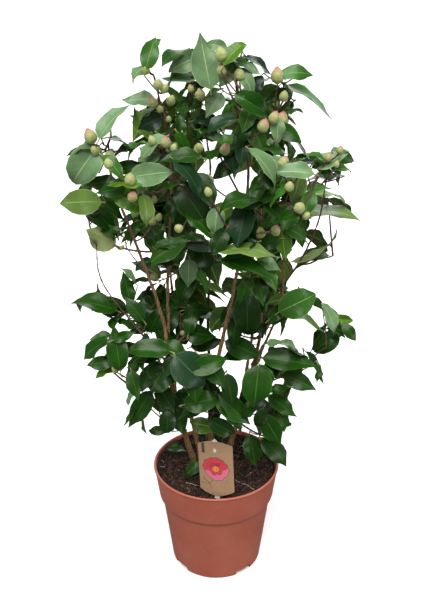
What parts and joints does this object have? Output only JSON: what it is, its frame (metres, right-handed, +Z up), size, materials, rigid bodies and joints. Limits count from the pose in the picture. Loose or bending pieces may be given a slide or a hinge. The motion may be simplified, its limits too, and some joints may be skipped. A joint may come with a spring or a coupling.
{
  "type": "potted camellia shrub",
  "caption": "Upright, many-stemmed evergreen camellia shrub in bud, with glossy dark leaves, growing in a round tapered nursery pot of soil with a plant label on a stake.",
  "frame": {"origin": "centre of the pot's flat underside, on the surface it stands on", "axes": "+Z up through the pot and the crown, -Y towards the side with the plant label, +X to the right of someone who faces the label"},
  "size_m": [0.535, 0.402, 0.993],
  "materials": {
    "pot_plastic": "satin",
    "peat_soil": "matte",
    "brown_card": "matte",
    "white_plastic": "satin",
    "bark": "matte",
    "leaf": "satin"
  },
  "bodies": {
    "root": {"pot": "pot_plastic", "soil": "peat_soil", "label_card": "brown_card", "label_stake": "white_plastic", "left_stem": "bark", "left_centre_stem": "bark", "centre_stem": "bark", "right_centre_stem": "bark", "right_stem": "bark", "far_right_stem": "bark", "back_centre_stem": "bark", "back_left_stem": "bark", "back_right_stem": "bark", "lower_left_shoot": "bark", "lower_right_shoot": "bark", "foliage_top_left_tip": "leaf", "foliage_upper_left": "leaf", "foliage_left_shoulder": "leaf", "foliage_far_left_top": "leaf", "foliage_far_left_tip": "leaf", "foliage_left_face": "leaf", "foliage_far_left_low": "leaf", "foliage_left_under": "leaf", "foliage_left_inner": "leaf", "foliage_centre_left_face": "leaf", "foliage_centre_left_high": "leaf", "foliage_top_centre_left": "leaf", "foliage_top_centre": "leaf", "foliage_top_right": "leaf", "foliage_centre_high": "leaf", "foliage_centre_right_high": "leaf", "foliage_right_high": "leaf", "foliage_right_face": "leaf", "foliage_far_right_top": "leaf", "foliage_far_right_tip": "leaf", "foliage_far_right_low": "leaf", "foliage_centre_face": "leaf", "foliage_centre_right_mid": "leaf", "foliage_centre_low_left": "leaf", "foliage_centre_low_face": "leaf", "foliage_lower_left_tip": "leaf", "foliage_lower_left_inner": "leaf", "foliage_low_left_tip": "leaf", "foliage_low_left_face": "leaf", "foliage_foot_left": "leaf", "foliage_low_centre_left": "leaf", "foliage_low_centre_face": "leaf", "foliage_low_centre_right": "leaf", "foliage_right_big_leaf": "leaf", "foliage_far_right_lower": "leaf", "foliage_low_right": "leaf", "foliage_foot_centre": "leaf", "foliage_low_right_face": "leaf", "foliage_foot_right": "leaf", "foliage_back_left_top": "leaf", "foliage_back_right_top": "leaf", "foliage_back_left_mid": "leaf", "foliage_back_right_mid": "leaf", "foliage_back_left_low": "leaf", "foliage_back_right_low": "leaf"}
  },
  "joints": []
}
